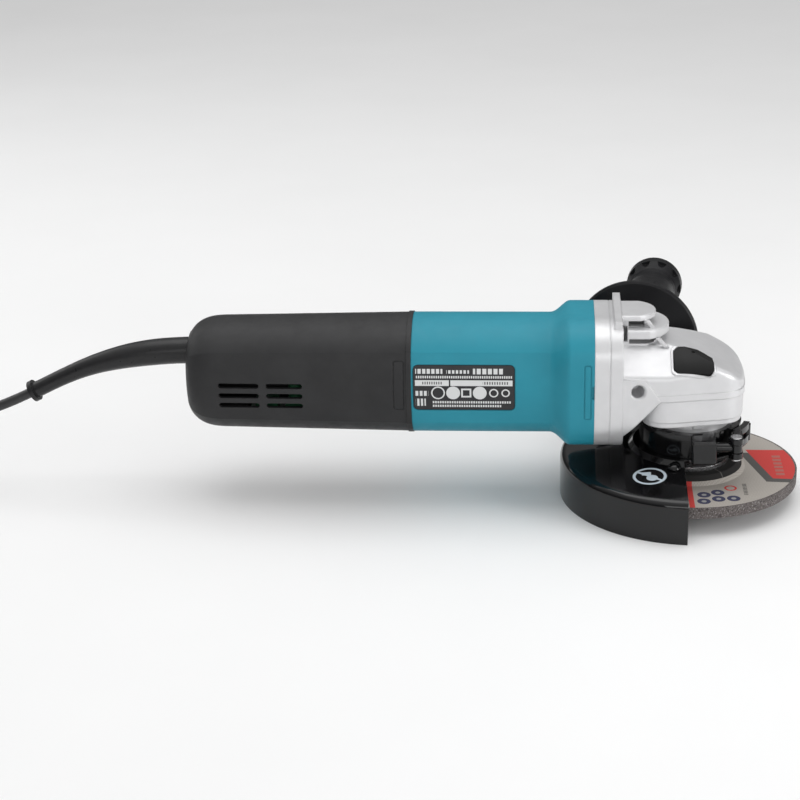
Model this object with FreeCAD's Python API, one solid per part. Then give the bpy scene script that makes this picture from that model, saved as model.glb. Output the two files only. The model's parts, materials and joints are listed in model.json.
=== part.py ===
"""Angle grinder for 115 mm discs, built up from its separate pieces. Millimetres.

Frame: the spindle turns about Z, the motor shaft lies along X with the nose at +X, and Z = 0 is the lower rim
of the wheel guard, which the tool stands on. The open M8 handle hole is on the -Y side, the side handle on +Y.
"""
import FreeCAD
import Part
import math
import os

V = FreeCAD.Vector
os.makedirs("parts", exist_ok=True)

# ---- driving dimensions -------------------------------------------------------------------------------------
AXIS_Z = 68.5              # height of the motor axis above the guard rim
BARREL_R = 32.0            # round top and bottom of the grip barrel
BARREL_SIDE = 29.0         # half width over the flattened sides
CREASE = math.radians(38)  # where the flattened sides begin, above and below the horizontal
REAR_X, COVER_X, FLARE_X0, FLARE_X1, FLANGE_X, HEAD_X = -268.5, -147.6, -75.2, -64.4, -52.0, -37.5
FLANGE_HALF = 34.4         # half size of the square motor flange
FLANGE_ROUND = 20.0        # its corner radius
WALL = 2.6                 # plastic wall of the rear cover
STATOR_BORE = 26.0         # bore of the motor housing
FAN_BORE = 27.0            # bore around the fan
MOUTH_BORE = 31.0          # and its wide front end, inside the flange

NOSE_X = 27.4              # front of the gear housing
HEAD_HALF = 32.0           # half width of the gear head
PARTING_Z = 63.6           # joint between gear housing and bearing box
BOX_Z = 48.9               # underside of the bearing box
NECK_R = 21.0              # neck that carries the guard
NECK_Z = 33.0              # lower end of the neck

GEAR_TEETH, PINION_TEETH = 34, 11
MODULE = 1.25
FACE_SCALE = 0.66          # inner end of the bevel teeth, measured along the cone
DISC_R, DISC_T = 57.5, 6.0
DISC_RIM_Z = 9.4           # underside of the disc rim
HUB_RISE = 4.6             # depressed centre
GUARD_R, GUARD_T = 69.4, 1.6
GUARD_TOP, GUARD_CONE_TOP, GUARD_STEP_TOP = 23.6, 27.2, 29.8
GUARD_EDGE_X = -4.5        # front edge of the guard shell
BAND_R = 27.0
BAND_Z0, BAND_Z1 = 30.0, 43.0

SPINDLE_TOP = 79.5         # upper end of the spindle, in the needle bearing
LOCK_TILT = math.radians(36)     # lock button moves square to the sloped shoulder
HANDLE_TILT = math.radians(8.6)  # side handle leans forward
HANDLE_X, HANDLE_Z = -29.5, 69.8

CORD_R = 2.75
CORD_Z = 80.1              # height at which the cord leaves the rear cover
LIP_X0, LIP_X1, LIP_R = -262.5, -259.5, 9.4    # lip of the cord guard, held in a groove of the rear cover
COIL_R, COIL_TURNS_WIDE, COIL_TURNS_HIGH = 30.0, 3, 4
# Route of the cord outside the coil, point by point.
CORD_ROUTE = [(-240, 0, CORD_Z), (-284, 0, CORD_Z), (-318, 0, 73.6), (-346, 0, 61.5), (-366, 0, 51.0),
              (-391, 0, 41.5), (-414, 0, 21.0), (-438, 0, 2.75), (-459, 0, 2.75)]
COIL_CENTRE = V(-459, -35.5, 0)
TAIL_ROUTE = [(-494.5, -35.5, 19.25), (-494.5, -62, 18.5), (-493, -86, 12.5), (-491, -112, 11.0)]
PLUG_START = V(-491, -112, 11.0)

SPINDLE = V(0, 0, 1)
MOTOR = V(1, 0, 0)
LOCK_IN = V(0, math.sin(LOCK_TILT), -math.cos(LOCK_TILT))
SHOULDER = V(0, -22.65, 83.0)    # middle of the sloped shoulder, under the lock button
SWITCH_TILT = math.radians(25)     # the slide switch faces outwards and a little up, on the +Y side
SWITCH_OUT = V(0, math.cos(SWITCH_TILT), math.sin(SWITCH_TILT))
SWITCH_UP = V(0, -math.sin(SWITCH_TILT), math.cos(SWITCH_TILT))


# ---- shapes that are used again and again -----------------------------------------------------------------
def box(x0, x1, y0, y1, z0, z1):
    return Part.makeBox(x1 - x0, y1 - y0, z1 - z0, V(x0, y0, z0))


def rod_z(r, z0, z1, x=0.0, y=0.0):
    return Part.makeCylinder(r, z1 - z0, V(x, y, z0), SPINDLE)


def rod_x(r, x0, x1, y=0.0, z=AXIS_Z):
    return Part.makeCylinder(r, x1 - x0, V(x0, y, z), MOTOR)


def rod_along(r, start, direction, length):
    return Part.makeCylinder(r, length, start, direction)


def ring_z(outer, inner, z0, z1):
    return rod_z(outer, z0, z1).cut(rod_z(inner, z0 - 1, z1 + 1))


def ring_x(outer, inner, x0, x1):
    return rod_x(outer, x0, x1).cut(rod_x(inner, x0 - 1, x1 + 1))


def polygon(points):
    return Part.Face(Part.makePolygon(points + [points[0]]))


def turned_z(profile):
    """Solid of revolution about the spindle from (radius, z) points."""
    return polygon([V(r, 0, z) for r, z in profile]).revolve(V(0, 0, 0), SPINDLE, 360)


def turned_x(profile):
    """Solid of revolution about the motor axis from (x, radius) points."""
    return polygon([V(x, 0, AXIS_Z + r) for x, r in profile]).revolve(V(0, 0, AXIS_Z), MOTOR, 360)


def side_prism(points, half):
    """Outline in (x, z) carried across Y by half each way."""
    return polygon([V(x, -half, z) for x, z in points]).extrude(V(0, 2 * half, 0))


def sector_x(outer, inner, x0, x1, middle, half_angle):
    """Part of a ring about the motor axis; middle and half_angle in degrees from +Y towards +Z."""
    first = math.radians(middle - half_angle)
    start = V(0, math.cos(first), math.sin(first))
    face = polygon([V(x, 0, AXIS_Z) + start * r for x, r in ((x0, inner), (x1, inner), (x1, outer), (x0, outer))])
    return face.revolve(V(0, 0, AXIS_Z), MOTOR, 2 * half_angle)


def fuse_all(shapes):
    return shapes[0].multiFuse(shapes[1:])


def rounded_plate(x0, x1, y0, y1, z0, z1, r):
    """Upright slab with rounded corners in its (x, z) face."""
    slab = box(x0, x1, y0, y1, z0, z1)
    edges = [e for e in slab.Edges if abs(e.Vertexes[0].Point.y - e.Vertexes[1].Point.y) > 0.5 * (y1 - y0)]
    return slab.makeFillet(r, edges)


def save(name, shape):
    if not shape.isValid():
        print("NOT VALID", name)
    solids = len(shape.Solids)
    box_ = shape.BoundBox
    print(f"{name:26s} solids {solids:2d} vol {shape.Volume:10.1f}  x {box_.XMin:7.1f} {box_.XMax:7.1f}"
          f"  y {box_.YMin:6.1f} {box_.YMax:6.1f}  z {box_.ZMin:6.1f} {box_.ZMax:6.1f}")
    shape.exportStep(f"parts/{name}.step")


# ---- cross-sections of the body -----------------------------------------------------------------------------
def barrel_radius(angle, r):
    """Round barrel with gently flattened sides; angle from the horizontal."""
    side = BARREL_SIDE / BARREL_R * r
    edge = r * math.cos(CREASE)
    fold = abs(math.atan2(math.sin(angle), abs(math.cos(angle))))
    if fold >= CREASE:
        return r
    back = (r * r - side * side) / (2 * (side - edge))
    return -back * math.cos(fold) + math.sqrt((side + back) ** 2 - (back * math.sin(fold)) ** 2)


def flange_radius(angle, half, corner):
    """Square with rounded corners, as a radius at an angle."""
    c = half - corner
    fold = math.atan2(abs(math.sin(angle)), abs(math.cos(angle)))
    fold = min(fold, math.pi / 2 - fold)
    if half * math.tan(fold) <= c:
        return half / math.cos(fold)
    along = c * (math.cos(fold) + math.sin(fold))
    return along + math.sqrt(corner ** 2 - 2 * c * c + along ** 2)


def body_wire(x, blend, r=BARREL_R, grow=0.0):
    """Closed outline across the body at x: blend 0 is the barrel, 1 the square flange."""
    corners = [CREASE, math.pi - CREASE, math.pi + CREASE, 2 * math.pi - CREASE, 2 * math.pi + CREASE]
    edges = []
    for a0, a1 in zip(corners, corners[1:]):
        points = []
        for i in range(9):
            a = a0 + (a1 - a0) * i / 8
            rho = (1 - blend) * barrel_radius(a, r) + blend * flange_radius(a, FLANGE_HALF, FLANGE_ROUND) + grow
            points.append(V(x, rho * math.cos(a), AXIS_Z + rho * math.sin(a)))
        curve = Part.BSplineCurve()
        curve.interpolate(points)
        edges.append(curve.toShape())
    return Part.Wire(edges)


def body_loft(stations, grow=0.0):
    """Solid through (x, blend, radius) stations."""
    return Part.makeLoft([body_wire(x, b, r, grow) for x, b, r in stations], True, len(stations) == 2)


def motor_housing_outer():
    barrel = body_loft([(COVER_X, 0, BARREL_R), (FLARE_X0, 0, BARREL_R)])
    steps = 6
    flare = []
    for i in range(steps + 1):
        t = i / steps
        flare.append((FLARE_X0 + (FLARE_X1 - FLARE_X0) * t, t * t * (3 - 2 * t), BARREL_R))
    flange = body_loft([(FLARE_X1, 1, BARREL_R), (FLANGE_X, 1, BARREL_R)])
    return barrel.fuse(body_loft(flare)).fuse(flange)


REAR_CAP = [(REAR_X, 0, 19.0), (-266.9, 0, 23.0), (-263.0, 0, 26.9), (-257.0, 0, 29.4), (-250.0, 0, 30.2)]


def rear_cover_outer(grow=0.0, rear_gap=0.0):
    cap = body_loft([(x + rear_gap, b, r) for x, b, r in REAR_CAP], grow)
    return cap.fuse(body_loft([(-250.0 + rear_gap, 0, 30.2), (COVER_X, 0, BARREL_R)], grow))


def switch_bar(x0, x1, inner, outer, half_width):
    """Straight bar beside the motor, facing the switch's way; inner and outer are distances from the axis."""
    corners = [(inner, -half_width), (outer, -half_width), (outer, half_width), (inner, half_width)]
    face = polygon([V(x0, 0, AXIS_Z) + SWITCH_OUT * r + SWITCH_UP * t for r, t in corners])
    return face.extrude(V(x1 - x0, 0, 0))


# ---- housings ----------------------------------------------------------------------------------------------
FLANGE_SCREWS = [(y, z) for y in (-24.9, 24.9) for z in (AXIS_Z - 24.9, AXIS_Z + 24.9)]
BOX_SCREWS = [(x, side * y) for x, y in ((-20.5, 22.5), (17.0, 19.6)) for side in (-1, 1)]
REAR_SCREW_Z = AXIS_Z - 21.0
VENT_Z = 58.8              # middle of the lowest row of vents
LABEL = dict(x0=-146.4, x1=-93.4, z0=57.4, z1=82.0)


def label_prism(margin):
    return rounded_plate(LABEL["x0"] - margin, LABEL["x1"] + margin, -40, -20,
                         LABEL["z0"] - margin, LABEL["z1"] + margin, 2.5 + margin)


def label_plate(outer):
    layer = outer.cut(moved(outer, V(0, 0.7, 0)))
    layer = layer.cut(outer.cut(moved(outer, V(0, 0.25, 0))))
    return biggest(layer.common(label_prism(0.0)))


def shallow_frame(outer, x0, x1, z0, z1):
    """Fine groove along a rounded rectangle on the -Y side, to be cut from a housing."""
    skin = outer.cut(moved(outer, V(0, 0.3, 0)))
    around = rounded_plate(x0, x1, -40, -20, z0, z1, 1.2)
    return skin.common(around.cut(rounded_plate(x0 + 0.45, x1 - 0.45, -41, -19, z0 + 0.45, z1 - 0.45, 0.8)))


def moved(shape, by):
    copy = shape.copy()
    copy.translate(by)
    return copy


def biggest(shape):
    return max(shape.Solids, key=lambda solid: solid.Volume)


def motor_housing(outer):
    body = outer.cut(rod_x(STATOR_BORE, COVER_X - 1, -90))
    body = body.cut(rod_x(FAN_BORE, -84, -65.5)).cut(rod_x(MOUTH_BORE, -66.5, FLANGE_X + 1))
    body = body.cut(rod_x(24.0, -91, -83))
    body = body.cut(outer.cut(moved(outer, V(0, 0.7, 0))).common(label_prism(0.3)))
    pad = switch_bar(-128, -91, 24.0, 33.4, 10.0)
    body = body.fuse(pad.cut(rod_x(28.0, -130, -90)))
    body = body.cut(switch_bar(COVER_X - 1, -93, 26.2, 28.2, 3.2))
    body = body.cut(switch_bar(-121, -98, 26.2, 40, 3.2))
    for y, z in FLANGE_SCREWS:
        body = body.cut(rod_x(2.0, -66, FLANGE_X + 1, y, z))
    latch = box(FLANGE_X - 1.2, FLANGE_X + 0.1, -40, -33.4, AXIS_Z - 2.4, AXIS_Z + 4.4)
    return body.cut(latch).cut(shallow_frame(outer, -57.4, -53.6, 54.8, 84.7))


def vent_slots():
    slots = []
    for row in range(3):
        z = VENT_Z + 5.6 * row
        for x0, x1 in ((-249.8, -228.1), (-224.4, -205.0)):
            slots.append(box(x0 + 1.4, x1 - 1.4, -40, 40, z - 1.4, z + 1.4))
            slots += [rod_along(1.4, V(x, -40, z), V(0, 1, 0), 80) for x in (x0 + 1.4, x1 - 1.4)]
    return fuse_all(slots)


def rear_cover():
    outer = rear_cover_outer()
    lip = body_loft([(COVER_X - 2.6, 0, BARREL_R + 0.45), (COVER_X, 0, BARREL_R + 0.45)])
    body = outer.fuse(lip)
    body = body.cut(rear_cover_outer(-WALL, 3.0))
    body = body.cut(body_loft([(COVER_X - 20, 0, BARREL_R - WALL), (COVER_X + 1, 0, BARREL_R - WALL)]))
    body = body.cut(vent_slots())
    body = body.fuse(rod_x(10.5, -268.8, -258, 0, CORD_Z).common(rear_cover_outer(0.6)))
    body = body.cut(rod_x(BOOT[0][1] + 0.1, -272, -256, 0, CORD_Z))
    body = body.cut(rod_x(LIP_R + 0.1, LIP_X0 - 0.2, LIP_X1 + 0.2, 0, CORD_Z))
    body = body.fuse(rod_x(4.6, -262, -238, 0, REAR_SCREW_Z))
    body = body.cut(rod_x(2.0, -274, -237, 0, REAR_SCREW_Z)).cut(rod_x(4.2, -276, -260.5, 0, REAR_SCREW_Z))
    body = body.cut(switch_bar(-206.5, COVER_X + 1, 20, 28.2, 3.2))
    return biggest(body.cut(shallow_frame(outer, -157.0, -151.3, 57.3, 84.1)))


HEAD_TOP = 89.4
HEAD_PLAN = [(-18, HEAD_HALF), (-1, 29.5), (11, 27.3), (19.0, 25.0), (24.2, 20.4), (26.6, 12.0)]
HEAD_PROFILE = [(-14, HEAD_TOP), (-6, 87.5), (2, 84.8), (13, 80.0), (20, 76.3), (25.5, 72.3), (30, 67.5)]


def head_outer():
    """Gear head: sloped shoulders, falling top and rounded nose, all edges well rounded."""
    low, shoulder_z, half_top = 44.0, 70.8, 14.5
    across = [(-40, low), (40, low), (40, shoulder_z), (half_top, HEAD_TOP), (-half_top, HEAD_TOP), (-40, shoulder_z)]
    bulk = polygon([V(-45, y, z) for y, z in across]).extrude(V(80, 0, 0))
    curve = Part.BSplineCurve()
    curve.interpolate([V(x, 0, z) for x, z in HEAD_PROFILE])
    corners = [V(HEAD_PROFILE[-1][0], 0, HEAD_PROFILE[-1][1]), V(HEAD_PROFILE[-1][0], 0, low - 4),
               V(-60, 0, low - 4), V(-60, 0, HEAD_TOP), V(HEAD_PROFILE[0][0], 0, HEAD_TOP)]
    outline = Part.Wire([curve.toShape()] + [Part.makeLine(a, b) for a, b in zip(corners, corners[1:])])
    side = moved(Part.Face(outline), V(0, -50, 0)).extrude(V(0, 100, 0))
    head = bulk.common(side).common(head_plan(0.0, low - 4, 100))
    soft = [e for e in head.Edges if e.BoundBox.ZMin > 55 and (e.BoundBox.XMin > -44.9 or e.BoundBox.XLength > 20)]
    return head.makeFillet(4.0, soft)


def head_plan(grow, z0, z1, back=-60):
    """Plan of the head: sides that draw in a little towards a round nose."""
    near = [V(x + (grow if x > 10 else 0), -(y + grow), z0) for x, y in HEAD_PLAN]
    points = near + [V(NOSE_X + grow, 0, z0)] + [V(p.x, -p.y, z0) for p in reversed(near)]
    curve = Part.BSplineCurve()
    curve.interpolate(Points=points, InitialTangent=V(1, -0.06, 0), FinalTangent=V(-1, -0.06, 0))
    first, last = points[0], points[-1]
    outline = Part.Wire([Part.makeLine(V(back, first.y, z0), first), curve.toShape(),
                         Part.makeLine(last, V(back, last.y, z0)),
                         Part.makeLine(V(back, last.y, z0), V(back, first.y, z0))])
    return Part.Face(outline).extrude(V(0, 0, z1 - z0))


def hood(half, straight_x, tip_x, z0, z1, soft=0.0):
    """Exhaust hood: straight sides, a rounded front and, if asked for, a softened top edge."""
    back = -40
    arc = Part.Arc(V(straight_x, -half, z0), V(tip_x, 0, z0), V(straight_x, half, z0)).toShape()
    outline = Part.Wire([Part.makeLine(V(back, -half, z0), V(straight_x, -half, z0)), arc,
                         Part.makeLine(V(straight_x, half, z0), V(back, half, z0)),
                         Part.makeLine(V(back, half, z0), V(back, -half, z0))])
    block = Part.Face(outline).extrude(V(0, 0, z1 - z0))
    if not soft:
        return block
    rim = [e for e in block.Edges if e.BoundBox.ZMin > z1 - 0.01 and e.BoundBox.XMax > back + 0.01]
    return block.makeFillet(soft, rim)


def hood_strut(x_top, x_foot, z_top, z_foot, y):
    """Slanting strut at the front end of a hood's opening, on both sides."""
    face = polygon([V(x_top, -y, z_top), V(x_top + 2.6, -y, z_top), V(x_foot + 2.6, -y, z_foot),
                    V(x_foot, -y, z_foot)])
    return face.extrude(V(0, 1.6, 0)).fuse(moved(face, V(0, 2 * y - 1.6, 0)).extrude(V(0, 1.6, 0)))


def ears():
    """Webs beside the head that carry the handle holes; in front they run into the head's lower rim."""
    outline = [(-50, 30), (HEAD_X + 0.6, 30), (HEAD_X + 0.6, 44.5), (-18.1, PARTING_Z), (-19.9, 67.4), (-26.2, 76.0),
               (-50, 77.6)]
    plan = polygon([V(-60, -34.0, 0), V(-34, -34.0, 0), V(-14, -32.2, 0), V(-14, 32.2, 0), V(-34, 34.0, 0),
                    V(-60, 34.0, 0)]).extrude(V(0, 0, 120))
    limits = body_loft([(-50, 1, BARREL_R), (-10, 1, BARREL_R)], -0.4)
    return side_prism(outline, 34.0).common(limits).common(plan)


def louvres():
    """Two stepped hoods over the air outlets, their struts, and the rib behind them."""
    low_hood = hood(17.5, -23.5, -12.8, 93.2, 97.8, 0.9).fuse(hood(15.0, -25.0, -16.5, 86.0, 93.4))
    high_hood = hood(12.8, -28.4, -19.8, 101.5, 104.3, 0.9).fuse(hood(10.4, -30.0, -23.6, 97.0, 101.7))
    struts = hood_strut(-20.4, -16.0, 93.4, 88.6, 17.0).fuse(hood_strut(-26.2, -22.8, 101.7, 97.5, 12.3))
    return [low_hood, high_hood, struts, box(-41.9, -37.9, -23.8, 23.8, 98.5, 105.0)]


def air_outlets():
    """Air leaves through the roof of the flange and the openings on both sides of the hoods."""
    return [box(FLANGE_X - 1, -36, -11, 11, 88, 98.2), box(-37, -26, -9, 9, 93, 101.4),
            box(-37, -20, -13.0, 13.0, 90.6, 95.0), box(-34.3, -26.5, -12, 12, 98.0, 101.5),
            box(-34.0, -21.0, -16, 16, 89.9, 93.2), box(-36.9, -35.0, -18.5, 18.5, 91, 97.9)]


def gear_housing():
    flange = body_loft([(FLANGE_X, 1, BARREL_R), (HEAD_X, 1, BARREL_R)])
    groove = flange.common(box(-44.3, -43.7, -50, 50, 0, 120))
    flange = flange.cut(groove.cut(body_loft([(-44.3, 1, BARREL_R), (-43.7, 1, BARREL_R)], -0.25)))
    rim = head_plan(0.3, PARTING_Z, 67.3).common(box(-40, 40, -50, 50, 0, 100))
    head = head_outer().common(box(-45, 60, -50, 50, PARTING_Z, 120))
    lip = lock_block(LOCK_GAP + 1.1, 2.0, 2.0).common(moved(head_outer(), LOCK_IN * -0.6))
    body = fuse_all([flange, head, ears(), rim, lip] + louvres())
    # pocket for the bearing box, the gear chamber and the bores
    body = body.cut(bearing_box_block(0.3).common(box(-60, 60, -60, 60, 0, PARTING_Z)))
    body = body.cut(box(-26.8, 60, -32.2, 32.2, 0, PARTING_Z))
    chamber = turned_z([(0, PARTING_Z - 8), (22.6, PARTING_Z - 8), (22.6, 66.0), (15.5, 72.6), (0, 72.6)])
    body = body.cut(chamber.common(box(-27.3, 60, -60, 60, 0, 100)))
    body = body.cut(rod_x(10.5, HEAD_X - 2, -8))
    body = body.cut(rod_z(7.0, 72, SPINDLE_TOP + 0.3))
    body = body.cut(rod_x(14.0, FLANGE_X - 1, -38.6)).cut(rod_x(11.8, -40, HEAD_X))
    body = body.cut(rod_x(29.5, FLANGE_X - 1, -47.2).cut(rod_x(16.6, FLANGE_X - 2, -46)))
    for outlet in air_outlets():
        body = body.cut(outlet)
    # handle holes, flange screws, box screws
    for side in (-1, 1):
        out = V(math.sin(HANDLE_TILT), side * math.cos(HANDLE_TILT), 0)
        mouth = V(HANDLE_X, side * 34.0, HANDLE_Z)
        radius = 3.4 if side < 0 else 4.0
        body = body.cut(rod_along(radius, mouth - out * 14, out, 20))
        body = body.cut(Part.makeCone(radius, radius + 1.2, 1.2, mouth - out * 1.2, out))
    body = body.cut(rod_along(11.4, HANDLE_FOOT + HANDLE_OUT * 0.2, HANDLE_OUT, 8))
    for y, z in FLANGE_SCREWS:
        body = body.cut(rod_x(2.3, FLANGE_X - 1, HEAD_X + 1, y, z)).cut(rod_x(4.2, -41.5, HEAD_X + 5, y, z))
    for x, y in BOX_SCREWS:
        body = body.cut(rod_z(2.0, PARTING_Z - 1, 69.5, x, y))
    # window and guide of the shaft lock
    body = body.cut(lock_block(LOCK_GAP, 9.0, 3.0))
    return biggest(body.cut(rod_along(2.05, SHOULDER, LOCK_IN, 30)))


def bearing_box_block(gap=0.0):
    """Block under the gear head with the head's own plan, set in a little, and a narrower foot."""
    blocks = []
    for inset, z0, z1 in ((0.2, 51.7, PARTING_Z), (0.9, BOX_Z, 51.8)):
        back = -27.3 + (inset - 0.2) - gap
        block = head_plan(gap - inset, z0, z1, back)
        corners = [e for e in block.Edges if e.BoundBox.ZLength > 2 and e.BoundBox.XMax < back + 0.1]
        blocks.append(block.makeFillet(12.0, corners))
    return blocks[0].fuse(blocks[1])


def bearing_box():
    body = bearing_box_block()
    body = body.fuse(rod_z(NECK_R, NECK_Z, BOX_Z + 1))
    for i in range(8):
        key = box(NECK_R - 1, NECK_R + 1.3, -2.6, 2.6, 44.6, BOX_Z + 0.5)
        key.rotate(V(0, 0, 0), SPINDLE, 45 * i + 7)
        body = body.fuse(key)
    body = body.cut(turned_z([(0, 50.6), (22.9, 50.6), (22.9, 70), (0, 70)]))
    body = body.cut(rod_z(16.0, 37.0, 52)).cut(rod_z(13.2, 30, 38))
    body = body.cut(rod_x(8.7, -30, -18))
    for x, y in BOX_SCREWS:
        body = body.cut(rod_z(2.3, BOX_Z - 1, PARTING_Z + 1, x, y))
        body = body.cut(rod_z(4.0, BOX_Z - 1, BOX_Z + 3.4, x, y))
    return biggest(body)


def screws(axis, places, shank, length, head, head_height):
    """Pan head screws; each place is the underside of a head."""
    made = []
    for place in places:
        top = place - axis * head_height
        screw = rod_along(shank, place, axis, length).fuse(rod_along(head, top, axis, head_height))
        made.append(screw.cut(rod_along(head * 0.45, top, axis, head_height * 0.6)))
    return Part.makeCompound(made)


# ---- spindle ---------------------------------------------------------------------------------------------
def bevel_tooth(teeth, other, thick, up):
    """One straight tooth as a frustum that shrinks towards the cone apex; it points along +X at rest."""
    outer_r = MODULE * teeth / 2
    pitch_angle = math.atan2(teeth, other)
    cone = outer_r / math.sin(pitch_angle)
    along = V(math.sin(pitch_angle), 0, -math.cos(pitch_angle) * up)
    square = V(math.cos(pitch_angle), 0, math.sin(pitch_angle) * up)
    half_pitch = MODULE * math.pi / 2
    wires = []
    for scale in (1.0, FACE_SCALE):
        flank = [(height, width * thick) for height, width in ((-1.5, 0.75), (0.0, 0.5), (0.9, 0.26))]
        outline = flank + [(h, -w) for h, w in reversed(flank)]
        points = [(along * cone + square * (h * MODULE) + V(0, w * half_pitch, 0)) * scale for h, w in outline]
        wires.append(Part.makePolygon(points + [points[0]]))
    return Part.makeLoft(wires, True, True)


def spindle_gear():
    """Bevel wheel, teeth upwards, with the drilled hub that the lock pin enters."""
    apex = AXIS_Z
    outer_r = MODULE * GEAR_TEETH / 2
    pitch_angle = math.atan2(GEAR_TEETH, PINION_TEETH)
    drop = 1.35 * MODULE

    def root(scale):
        r = scale * outer_r - drop * scale * math.cos(pitch_angle)
        z = apex - scale * outer_r / math.tan(pitch_angle) - drop * scale * math.sin(pitch_angle)
        return r, z
    r_out, z_out = root(1.0)
    r_in, z_in = root(FACE_SCALE)
    blank = turned_z([(6.0, 53.4), (16.0, 53.4), (r_out + 0.4, z_out - 2.4), (r_out, z_out), (r_in, z_in),
                      (11.0, 62.0), (11.0, 62.7), (6.6, 67.1), (5.05, 67.1), (5.05, 60.0), (6.0, 60.0)])
    teeth = []
    for i in range(GEAR_TEETH):
        tooth = bevel_tooth(GEAR_TEETH, PINION_TEETH, 0.62, 1)
        tooth.translate(V(0, 0, apex))
        tooth.rotate(V(0, 0, 0), SPINDLE, 180 + (i + 0.5) * 360 / GEAR_TEETH)
        teeth.append(tooth)
    body = fuse_all([blank] + teeth)
    for i in range(4):
        hole = rod_along(2.4, SHOULDER + LOCK_IN * 20, LOCK_IN, 26.2 - 20)
        hole.rotate(V(0, 0, 0), SPINDLE, 90 * i)
        body = body.cut(hole)
    return biggest(body)


def pinion():
    pitch_angle = math.atan2(PINION_TEETH, GEAR_TEETH)
    outer_r = MODULE * PINION_TEETH / 2
    cone_x = outer_r / math.tan(pitch_angle)
    drop = 1.3 * MODULE
    r_out = outer_r - drop * math.cos(pitch_angle)
    x_out = -cone_x - drop * math.sin(pitch_angle)
    r_in = r_out * FACE_SCALE
    x_in = x_out * FACE_SCALE
    blank = turned_x([(-27.0, 0.0), (-27.0, 6.4), (x_out, r_out), (x_in, r_in), (x_in, 0.0)])
    teeth = []
    for i in range(PINION_TEETH):
        tooth = bevel_tooth(PINION_TEETH, GEAR_TEETH, 0.62, 1)
        tooth.rotate(V(0, 0, 0), V(0, 1, 0), 90)
        tooth.translate(V(0, 0, AXIS_Z))
        tooth.rotate(V(0, 0, AXIS_Z), MOTOR, i * 360 / PINION_TEETH)
        teeth.append(tooth)
    body = fuse_all([blank] + teeth)
    return biggest(body.cut(rod_x(3.6, -30, -15)))


def spindle():
    top = SPINDLE_TOP
    body = turned_z([(0, 5.0), (6.3, 5.0), (7.0, 5.7), (7.0, 22.5), (8.6, 24.0), (8.6, 33.4), (6.0, 35.4),
                     (6.0, 60.0), (5.05, 60.0), (5.0, top - 8.5), (4.5, top - 7.5), (4.5, top - 0.4), (4.1, top),
                     (0, top)])
    body = body.cut(ring_z(7.5, 6.4, 22.0, 22.8))
    return body.cut(box(4.2, 7, -1.5, 1.5, 53.4, 59.6))


def grinding_disc():
    low, high = DISC_RIM_Z, DISC_RIM_Z + DISC_T
    rise = HUB_RISE
    return turned_z([(11.1, low + rise), (23.0, low + rise), (27.0, low), (DISC_R, low), (DISC_R, high),
                     (30.0, high), (26.0, high + rise), (11.1, high + rise)])


def inner_flange():
    z = DISC_RIM_Z + DISC_T + HUB_RISE
    plate = turned_z([(8.8, z), (21.0, z), (21.0, z + 2.2), (17.0, z + 4.0), (13.0, z + 5.0), (8.8, z + 5.0)])
    pilot = turned_z([(7.05, z - 2.5), (11.0, z - 2.5), (11.0, z + 2.4), (7.05, z + 2.4)])
    return plate.fuse(pilot)


def lock_nut():
    z = DISC_RIM_Z + HUB_RISE
    body = turned_z([(7.05, z - 6.4), (14.0, z - 6.4), (15.0, z - 5.4), (20.0, z - 4.0), (20.0, z), (7.05, z)])
    for x, y in ((-15, 0), (15, 0), (0, -15), (0, 15)):
        body = body.cut(rod_z(2.4, z - 7, z - 2.2, x, y))
    return body


# ---- guard -----------------------------------------------------------------------------------------------
def wheel_guard():
    """Half shell: skirt, rolled fold, shallow cone, and the collar that turns on the neck."""
    r, t, fold = GUARD_R, GUARD_T, 4.2
    half = math.sqrt(0.5)
    bore, collar = NECK_R + 0.05, 24.0
    top, cone, step, lip = GUARD_TOP, GUARD_CONE_TOP, GUARD_STEP_TOP, BAND_Z1 - 0.6
    outside = [V(r - fold, 0, top), V(32.6, 0, cone), V(30.4, 0, step), V(collar, 0, step), V(collar, 0, lip),
               V(bore, 0, lip), V(bore, 0, step - t), V(29.7, 0, step - t), V(32.0, 0, cone - t),
               V(r - fold, 0, top - t)]
    edges = [Part.makeLine(V(r, 0, 0), V(r, 0, top - fold)),
             Part.Arc(V(r, 0, top - fold), V(r - fold + fold * half, 0, top - fold + fold * half),
                      outside[0]).toShape()]
    edges += [Part.makeLine(a, b) for a, b in zip(outside, outside[1:])]
    edges += [Part.Arc(outside[-1], V(r - fold + (fold - t) * half, 0, top - fold + (fold - t) * half),
                       V(r - t, 0, top - fold)).toShape(),
              Part.makeLine(V(r - t, 0, top - fold), V(r - t, 0, 0)), Part.makeLine(V(r - t, 0, 0), V(r, 0, 0))]
    shell = Part.Face(Part.Wire(edges)).revolve(V(0, 0, 0), SPINDLE, 360)
    keep = box(-100, GUARD_EDGE_X, -100, 100, -5, 60).fuse(rod_z(28.4, 20, 60))
    x, y = GUARD_SCREW.x, GUARD_SCREW.y
    return biggest(shell.common(keep).cut(rod_z(2.05, 0, 60, x, y)).cut(rod_z(3.9, GUARD_SCREW.z, 60, x, y)))


BOLT = V(-1.3, -31.2, 38.4)
LEVER_PIN = V(21.8, -31.2, 0)
LEVER_Z0, LEVER_Z1 = 32.8, 43.6
LEVER_R = 31.8                # outside radius of the lever's arm
LEVER_END = math.radians(-14)
GUARD_SCREW = V(-10.1, -32.9, 27.3)


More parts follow.
